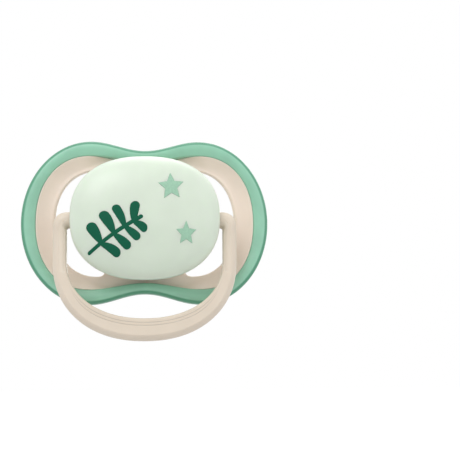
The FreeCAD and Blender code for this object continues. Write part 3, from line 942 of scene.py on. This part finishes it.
def ink_finish(name, base):
    """Printed ink: nearly flat colour with slight mottling and pinholes from the pad."""
    finish = Finish(name)
    mottle = finish.noise(2.2, 4.0, 0.65)
    finish.put("Base Color", finish.clouded(mottle, base, 0.94, 1.05, 0.35, 0.65))
    finish.roughen(mottle, 0.39, 0.53)
    finish.put("Specular IOR Level", 0.15)
    finish.bump(mottle, 0.006)
    return finish.material


# ---- stage -----------------------------------------------------------------------------------

def make_floor(size):
    """Flat round floor whose rings widen outwards, so that it ends far away under the white."""
    angle = full_turn(72)
    radius = np.geomspace(0.02, 12.0, 30)[:, None]
    rings = places(radius * np.cos(angle), radius * np.sin(angle), -size.floor_drop)
    faces = grid_faces(*rings.shape[:2], wrap_columns=True).tolist() + [list(range(len(angle)))]
    finish = Finish("pale floor")
    finish.put("Base Color", finish.mix(finish.noise(0.01), (0.58, 0.58, 0.58, 1), (0.60, 0.60, 0.60, 1)))
    finish.put("Roughness", 0.9)
    finish.put("Specular IOR Level", 0.0)
    finish.put("Emission Color", (1.0, 1.0, 1.0, 1.0))
    seen = finish.add("LightPath", {}).outputs["Is Camera Ray"]
    finish.put("Emission Strength", finish.math("MULTIPLY", seen, size.floor_glow))
    add_mesh("studio_floor", rings.reshape(-1, 3), faces, finish.material)


def add_light(name, place, aim, width, power):
    """Square soft light that faces a point."""
    data = bpy.data.lights.new(name, "AREA")
    data.size, data.energy = width, power
    light = bpy.data.objects.new(name, data)
    light.location = place
    light.rotation_euler = (Vector(aim) - Vector(place)).to_track_quat("-Z", "Y").to_euler()
    bpy.context.scene.collection.objects.link(light)


def make_camera(size):
    """Camera in front, a little below, turned so that the object stands left of the middle."""
    below, pan, dip = math.radians(7.5), 0.0692, 0.0056
    data = bpy.data.cameras.new("camera")
    data.lens, data.sensor_width = 96.1, 36.0
    data.clip_start, data.clip_end = 0.01, 50
    camera = bpy.data.objects.new("camera", data)
    forward = Vector((0, math.cos(below), math.sin(below)))
    right, upward = Vector((1, 0, 0)), Vector((0, -math.sin(below), math.cos(below)))
    camera.location = Vector((0, -0.95 * MM, 0)) - forward * size.distance
    look = (forward + right * pan).normalized()
    right = (right - forward * pan).normalized()
    tilted_up = (upward + look * dip).normalized()
    look = (look - upward * dip).normalized()
    camera.rotation_euler = Matrix((right, tilted_up, -look)).transposed().to_euler()
    bpy.context.scene.collection.objects.link(camera)
    bpy.context.scene.camera = camera


LIGHTS = (  # name, place, aim, width in metres, power in watts
    ("key", (-0.45, -0.75, 0.75), (0, 0, 0), 0.7, 3.8),
    ("fill", (0.8, -0.6, 0.15), (0, 0, 0), 0.8, 1.2),
    ("back", (0.45, 0.9, 0.3), (0, 0.02, 0), 0.8, 3.0),
    ("top", (0.1, 0.35, 0.95), (0, 0, 0), 0.8, 2.6),
)


def make_world(size):
    """Even surroundings that light softly and show as plain white."""
    world = bpy.data.worlds.new("surroundings")
    world.use_nodes = True
    nodes, links = world.node_tree.nodes, world.node_tree.links
    background = nodes["Background"]
    background.inputs["Color"].default_value = (1.0, 1.0, 1.0, 1)
    strength = nodes.new("ShaderNodeMix")
    strength.inputs["A"].default_value = size.ambient
    strength.inputs["B"].default_value = 1.0
    links.new(nodes.new("ShaderNodeLightPath").outputs["Is Camera Ray"], strength.inputs["Factor"])
    links.new(strength.outputs["Result"], background.inputs["Strength"])
    bpy.context.scene.world = world


# ---- operators and panel ---------------------------------------------------------------------

class PacifierShieldPlate(bpy.types.Operator):
    """Mould the dished plate with its vents"""
    bl_idname = "pacifier.shield_plate"
    bl_label = "Shield plate"

    def execute(self, context):
        plastic = moulded("beige plate", settings("shield").plate_colour, 0.4).material
        make_shield_plate(plastic)
        make_gate_mark(plastic)
        return {"FINISHED"}


class PacifierShieldRim(bpy.types.Operator):
    """Mould the soft rim round the plate"""
    bl_idname = "pacifier.shield_rim"
    bl_label = "Shield rim"

    def execute(self, context):
        make_shield_rim(rim_finish())
        return {"FINISHED"}


class PacifierKnob(bpy.types.Operator):
    """Mould the hollow knob"""
    bl_idname = "pacifier.knob"
    bl_label = "Knob"

    def execute(self, context):
        make_knob(knob_finish())
        return {"FINISHED"}


class PacifierNipple(bpy.types.Operator):
    """Mould the silicone nipple"""
    bl_idname = "pacifier.nipple"
    bl_label = "Nipple"

    def execute(self, context):
        make_nipple(nipple_finish())
        return {"FINISHED"}


class PacifierPlug(bpy.types.Operator):
    """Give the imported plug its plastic"""
    bl_idname = "pacifier.plug"
    bl_label = "Plug"

    def execute(self, context):
        slots = frame["nodes"]["nipple_plug"].data.materials
        slots.clear()
        slots.append(moulded("natural plug", settings("nipple").plug_colour, 0.35).material)
        return {"FINISHED"}


class PacifierHandle(bpy.types.Operator):
    """Mould the swinging handle with its pins"""
    bl_idname = "pacifier.handle"
    bl_label = "Handle"

    def execute(self, context):
        make_handle(handle_finish())
        return {"FINISHED"}


class PacifierPrints(bpy.types.Operator):
    """Print the sprig and the two stars on the knob"""
    bl_idname = "pacifier.prints"
    bl_label = "Prints"

    def execute(self, context):
        colours = settings("print")
        make_leaf_print(ink_finish("dark green ink", colours.leaf_colour))
        pale = ink_finish("pale green ink", colours.star_colour)
        make_star("large_star_film", "large_star_print", (6.05, 6.6), 3.15, 3.4, 3.5, pale)
        make_star("small_star_film", "small_star_print", (9.52, -4.33), 2.5, 2.95, 0.0, pale)
        return {"FINISHED"}


class PacifierStage(bpy.types.Operator):
    """Set the floor, the surroundings, the lights and the camera"""
    bl_idname = "pacifier.stage"
    bl_label = "Stage"

    def execute(self, context):
        size = settings("stage")
        make_floor(size)
        make_world(size)
        for light in LIGHTS:
            add_light(*light)
        make_camera(size)
        context.scene.view_settings.view_transform = "Standard"
        return {"FINISHED"}


OPERATORS = (PacifierStage, PacifierShieldPlate, PacifierShieldRim, PacifierKnob, PacifierNipple,
             PacifierPlug, PacifierHandle, PacifierPrints)
GROUPS = {
    "shield": PacifierShieldSettings,
    "knob": PacifierKnobSettings,
    "nipple": PacifierNippleSettings,
    "handle": PacifierHandleSettings,
    "print": PacifierPrintSettings,
    "stage": PacifierStageSettings,
}


class PacifierPanel(bpy.types.Panel):
    """Lists the steps and their sizes"""
    bl_idname = "VIEW3D_PT_pacifier"
    bl_label = "Pacifier"
    bl_space_type = "VIEW_3D"
    bl_region_type = "UI"
    bl_category = "Pacifier"

    def draw(self, context):
        for operator in OPERATORS:
            self.layout.operator(operator.bl_idname)
        for name, group in GROUPS.items():
            box = self.layout.box()
            box.label(text=name.capitalize())
            for field in group.__annotations__:
                box.prop(settings(name), field)


def register():
    """Adds the classes, and one group of settings of each kind to the scene."""
    for group in GROUPS.values():
        bpy.utils.register_class(group)
    for operator in OPERATORS:
        bpy.utils.register_class(operator)
    bpy.utils.register_class(PacifierPanel)
    for name, group in GROUPS.items():
        setattr(bpy.types.Scene, "pacifier_" + name, PointerProperty(type=group))


def unregister():
    """Takes away what register added."""
    for name in GROUPS:
        delattr(bpy.types.Scene, "pacifier_" + name)
    bpy.utils.unregister_class(PacifierPanel)
    for operator in reversed(OPERATORS):
        bpy.utils.unregister_class(operator)
    for group in reversed(list(GROUPS.values())):
        bpy.utils.unregister_class(group)


def main():
    """Builds every piece in order."""
    register()
    for operator in OPERATORS:
        group, name = operator.bl_idname.split(".")
        getattr(getattr(bpy.ops, group), name)()


if __name__ == "__main__":
    main()
